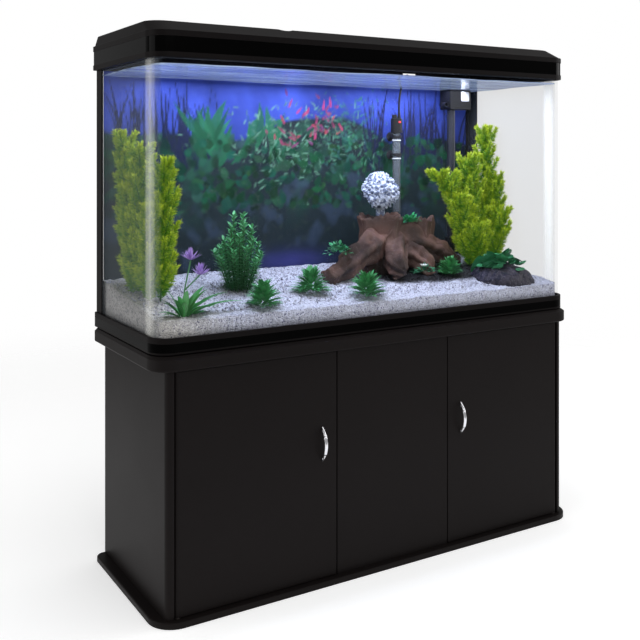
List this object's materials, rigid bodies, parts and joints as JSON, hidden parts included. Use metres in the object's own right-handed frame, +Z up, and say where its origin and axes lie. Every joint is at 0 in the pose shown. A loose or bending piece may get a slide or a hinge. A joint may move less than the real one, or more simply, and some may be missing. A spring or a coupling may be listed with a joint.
{
  "type": "aquarium on stand",
  "caption": "Bent-glass aquarium with gloss-banded hood on a dark two-door cabinet, with heater, pump, gravel and decor.",
  "frame": {"origin": "on the floor, in the middle of the footprint of the cabinet, tank and handles, cord left out", "axes": "+Z up, +X along the front to the right as seen from the front, -Y out of the front through the doors"},
  "size_m": [1.214, 0.5871, 1.287],
  "materials": {
    "cabinet_board": "dark brown-black foil on board, satin",
    "panel_board": "dark foil on thin board, satin",
    "trim": "black moulded trim, matt",
    "gloss_band": "black band, high gloss",
    "foam": "closed-cell foam",
    "glass": "clear float glass",
    "silicone": "black silicone",
    "film": "printed blue and green film, semi-matt",
    "steel": "zinc-plated steel",
    "handle_metal": "polished nickel",
    "fitting_plastic": "dark brown nylon",
    "lamp_white": "white enamel-like plastic",
    "diffuser": "opal plastic",
    "equipment_black": "black moulded plastic, satin",
    "knob": "black moulded plastic",
    "clip_white": "white soft plastic",
    "cord": "black flexible cord",
    "pipe_grey": "dark grey plastic",
    "gravel": "fine pale gravel with dark specks",
    "wood_resin": "brown moulded bark",
    "rock": "dark rough rock",
    "coral": "white porous ceramic",
    "plant_yellow": "yellow-green soft foliage",
    "plant_dark": "dark green soft foliage",
    "plant_mid": "mid green soft foliage"
  },
  "bodies": {
    "aquarium": {"background_film": "film", "base_board": "cabinet_board", "base_screws": "steel", "bush_plant": "plant_dark", "cabinet_back": "panel_board", "cabinet_side_left": "cabinet_board", "cabinet_side_right": "cabinet_board", "cabinet_top": "cabinet_board", "centre_panel": "cabinet_board", "coral_ball": "coral", "corner_posts": "trim", "fern_left": "plant_yellow", "fern_right": "plant_yellow", "flower_plant": "plant_mid", "foam_mat": "foam", "glass_back": "glass", "glass_bottom": "glass", "glass_front": "glass", "gravel": "gravel", "heater_cap": "equipment_black", "heater_clips": "clip_white", "heater_cord": "cord", "heater_cord_coil": "cord", "heater_plug": "equipment_black", "heater_tube": "glass", "leaf_clumps": "plant_mid", "magnet_catches": "fitting_plastic", "partition_left": "cabinet_board", "partition_right": "cabinet_board", "pivot_bushes": "fitting_plastic", "pump_clip": "equipment_black", "pump_cover": "equipment_black", "pump_housing": "equipment_black", "pump_pipe": "pipe_grey", "pump_strainer": "equipment_black", "rock_mound": "rock", "silicone_seams": "silicone", "stump": "wood_resin", "tank_base_band": "gloss_band", "tank_base_frame": "trim", "tank_top_frame": "trim"},
    "door_left": {"door_left": "cabinet_board", "door_pins_left": "steel", "handle_left": "handle_metal", "handle_screws_left": "steel", "strike_left": "steel"},
    "door_right": {"door_right": "cabinet_board", "door_pins_right": "steel", "handle_right": "handle_metal", "handle_screws_right": "steel", "strike_right": "steel"},
    "hood": {"hood_frame": "trim", "hood_band": "gloss_band", "hood_top": "trim", "lamp_housing": "lamp_white", "lamp_diffuser": "diffuser"},
    "flap": {"feeding_flap": "trim"},
    "knob": {"heater_knob": "knob"},
    "nozzle": {"pump_nozzle": "equipment_black"},
    "impeller": {"pump_impeller": "pipe_grey"}
  },
  "joints": [
    {"name": "door_left_hinge", "type": "hinge", "parent": "aquarium", "child": "door_left", "pos_m": [-0.55, -0.187, 0.2755], "axis": [0, 0, -1], "range_deg": [0, 95]},
    {"name": "door_right_hinge", "type": "hinge", "parent": "aquarium", "child": "door_right", "pos_m": [0.55, -0.187, 0.2755], "axis": [0, 0, 1], "range_deg": [0, 95]},
    {"name": "hood_lift", "type": "slide", "parent": "aquarium", "child": "hood", "axis": [0, 0, 1], "range_m": [0, 0.15]},
    {"name": "flap_hinge", "type": "hinge", "parent": "hood", "child": "flap", "pos_m": [-0.262, 0.059, 1.2845], "axis": [-1, 0, 0], "range_deg": [0, 100]},
    {"name": "heater_dial", "type": "hinge", "parent": "aquarium", "child": "knob", "pos_m": [0.278, 0.172, 1.106], "axis": [0, 0, 1], "range_deg": [0, 240]},
    {"name": "nozzle_swivel", "type": "hinge", "parent": "aquarium", "child": "nozzle", "pos_m": [0.465, 0.176, 1.146], "axis": [1, 0, 0], "range_deg": [-40, 40]},
    {"name": "impeller_spin", "type": "hinge", "parent": "aquarium", "child": "impeller", "pos_m": [0.493, 0.176, 1.146], "axis": [0, 0, 1], "continuous": true}
  ]
}
